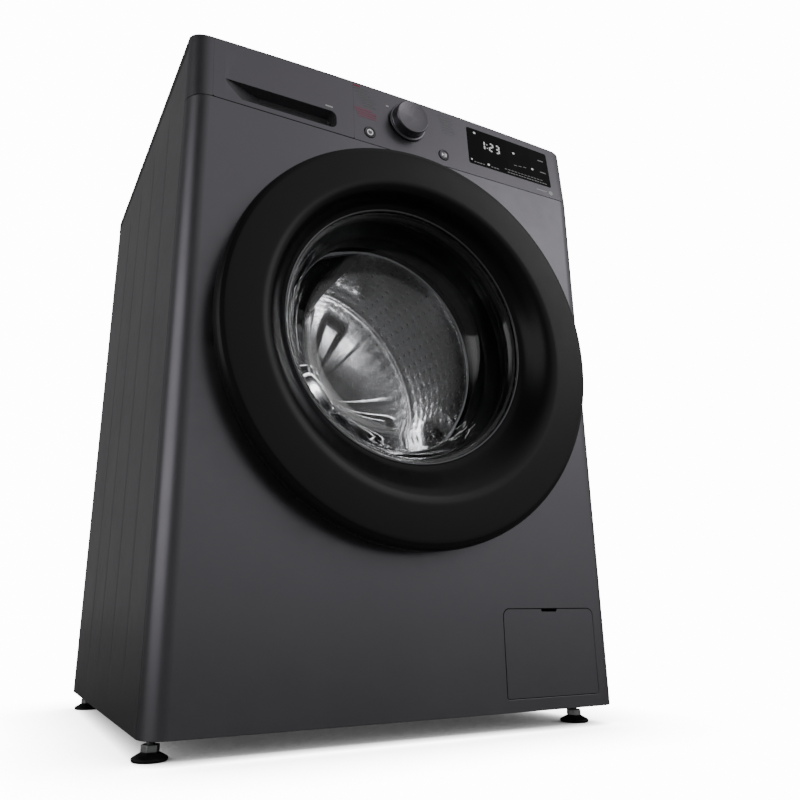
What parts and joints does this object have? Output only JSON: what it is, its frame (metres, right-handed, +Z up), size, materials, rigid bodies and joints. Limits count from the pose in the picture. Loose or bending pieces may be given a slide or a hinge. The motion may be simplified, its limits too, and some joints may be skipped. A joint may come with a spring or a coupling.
{
  "type": "front load washing machine",
  "caption": "Free-standing front load washing machine with a large round glass door, leaning control fascia, detergent drawer, knob, suspended tub and direct-drive drum.",
  "frame": {"origin": "middle of the floor area that the machine covers, on the floor under the feet", "axes": "+Z up, -Y towards the user (the door side), +X to the right as seen from the door side"},
  "size_m": [0.6, 0.616, 0.85],
  "materials": {
    "graphite_paint": "satin",
    "fascia_paint": "satin",
    "satin_black": "satin",
    "dark_plastic": "matte",
    "grey_plastic": "matte",
    "gloss_black": "gloss",
    "clear_glass": "gloss",
    "gasket_rubber": "matte",
    "stainless": "brushed",
    "cast_alloy": "cast",
    "zinc_steel": "galvanised",
    "weight_iron": "rough",
    "top_laminate": "satin",
    "board_green": "matte",
    "pale_blue": "satin",
    "copper": "wound",
    "foot_black": "matte"
  },
  "bodies": {
    "cabinet": {"front_panel": "graphite_paint", "side_panel_right": "graphite_paint", "side_panel_left": "graphite_paint", "back_panel": "zinc_steel", "rear_cover": "zinc_steel", "top_plate": "top_laminate", "base_pan": "dark_plastic", "control_fascia": "fascia_paint", "dispenser_housing": "grey_plastic", "display_window": "gloss_black", "control_board": "board_green", "hinge_bracket": "dark_plastic", "door_lock": "dark_plastic", "door_gasket": "gasket_rubber", "tub_spring_left": "zinc_steel", "tub_spring_right": "zinc_steel", "damper_tube_left": "dark_plastic", "damper_tube_right": "dark_plastic", "drain_pump": "grey_plastic", "sump_hose": "gasket_rubber", "dispenser_hose": "gasket_rubber", "inlet_valve": "grey_plastic", "drain_outlet": "dark_plastic", "mains_gland": "dark_plastic"},
    "drawer": {"drawer_front": "fascia_paint", "detergent_drawer": "grey_plastic", "siphon_cap": "pale_blue"},
    "knob": {"program_knob": "fascia_paint"},
    "power": {"power_button": "fascia_paint"},
    "start": {"start_button": "fascia_paint"},
    "door": {"door_ring": "satin_black", "door_frame": "dark_plastic", "door_glass": "clear_glass", "door_hinge_plate": "zinc_steel", "hinge_pin": "zinc_steel"},
    "hook": {"door_hook": "zinc_steel"},
    "flap": {"filter_cover": "graphite_paint"},
    "filter": {"pump_filter": "dark_plastic"},
    "tub": {"tub_front": "grey_plastic", "tub_rear": "grey_plastic", "counterweight_upper": "weight_iron", "counterweight_lower": "weight_iron", "bearing_front": "stainless", "bearing_rear": "stainless", "stator": "copper", "heater": "stainless", "damper_rod_left": "zinc_steel", "damper_rod_right": "zinc_steel"},
    "drum": {"drum_shell": "stainless", "drum_spider": "cast_alloy", "drum_lifter_1": "grey_plastic", "drum_lifter_2": "grey_plastic", "drum_lifter_3": "grey_plastic", "drum_shaft": "zinc_steel", "rotor": "zinc_steel"},
    "foot_fl": {"foot_front_left": "foot_black"},
    "foot_fr": {"foot_front_right": "foot_black"},
    "foot_rl": {"foot_rear_left": "foot_black"},
    "foot_rr": {"foot_rear_right": "foot_black"}
  },
  "joints": [
    {"name": "drawer_slide", "type": "slide", "parent": "cabinet", "child": "drawer", "axis": [0, -1, 0], "range_m": [0, 0.235]},
    {"name": "knob_turn", "type": "hinge", "parent": "cabinet", "child": "knob", "pos_m": [0.006, -0.27, 0.8045], "axis": [0, -1, 0], "continuous": true},
    {"name": "power_press", "type": "slide", "parent": "cabinet", "child": "power", "axis": [0, 1, 0], "range_m": [0, 0.0015], "stiffness_N_per_m": 800, "springref_m": -0.001},
    {"name": "start_press", "type": "slide", "parent": "cabinet", "child": "start", "axis": [0, 1, 0], "range_m": [0, 0.0015], "stiffness_N_per_m": 800, "springref_m": -0.001},
    {"name": "door_swing", "type": "hinge", "parent": "cabinet", "child": "door", "pos_m": [-0.249, -0.291, 0.468], "axis": [0, 0, -1], "range_deg": [0, 128]},
    {"name": "hook_tilt", "type": "hinge", "parent": "door", "child": "hook", "pos_m": [0.212, -0.282, 0.484], "axis": [0, 0, 1], "range_deg": [0, 7], "stiffness_Nm_per_rad": 0.5, "springref_deg": -5.73},
    {"name": "flap_hinge", "type": "hinge", "parent": "cabinet", "child": "flap", "pos_m": [0.19675, -0.2687, 0.0403], "axis": [1, 0, 0], "range_deg": [0, 90]},
    {"name": "filter_turn", "type": "hinge", "parent": "cabinet", "child": "filter", "pos_m": [0.19675, -0.25, 0.092], "axis": [0, -1, 0], "range_deg": [-180, 0]},
    {"name": "tub_float", "type": "slide", "parent": "cabinet", "child": "tub", "axis": [0, 0, 1], "range_m": [-0.008, 0.008], "stiffness_N_per_m": 24000, "springref_m": 0.01657, "deforming": ["tub_spring_left", "tub_spring_right", "door_gasket", "sump_hose", "dispenser_hose"]},
    {"name": "drum_spin", "type": "hinge", "parent": "tub", "child": "drum", "pos_m": [0, -0.02, 0.484], "axis": [0, 1, 0], "continuous": true},
    {"name": "foot_fl_turn", "type": "hinge", "parent": "cabinet", "child": "foot_fl", "pos_m": [-0.281, -0.222, 0.02], "axis": [0, 0, 1], "range_deg": [-180, 180]},
    {"name": "foot_fr_turn", "type": "hinge", "parent": "cabinet", "child": "foot_fr", "pos_m": [0.266, -0.222, 0.02], "axis": [0, 0, 1], "range_deg": [-180, 180]},
    {"name": "foot_rl_turn", "type": "hinge", "parent": "cabinet", "child": "foot_rl", "pos_m": [-0.281, 0.262, 0.02], "axis": [0, 0, 1], "range_deg": [-180, 180]},
    {"name": "foot_rr_turn", "type": "hinge", "parent": "cabinet", "child": "foot_rr", "pos_m": [0.266, 0.262, 0.02], "axis": [0, 0, 1], "range_deg": [-180, 180]}
  ]
}
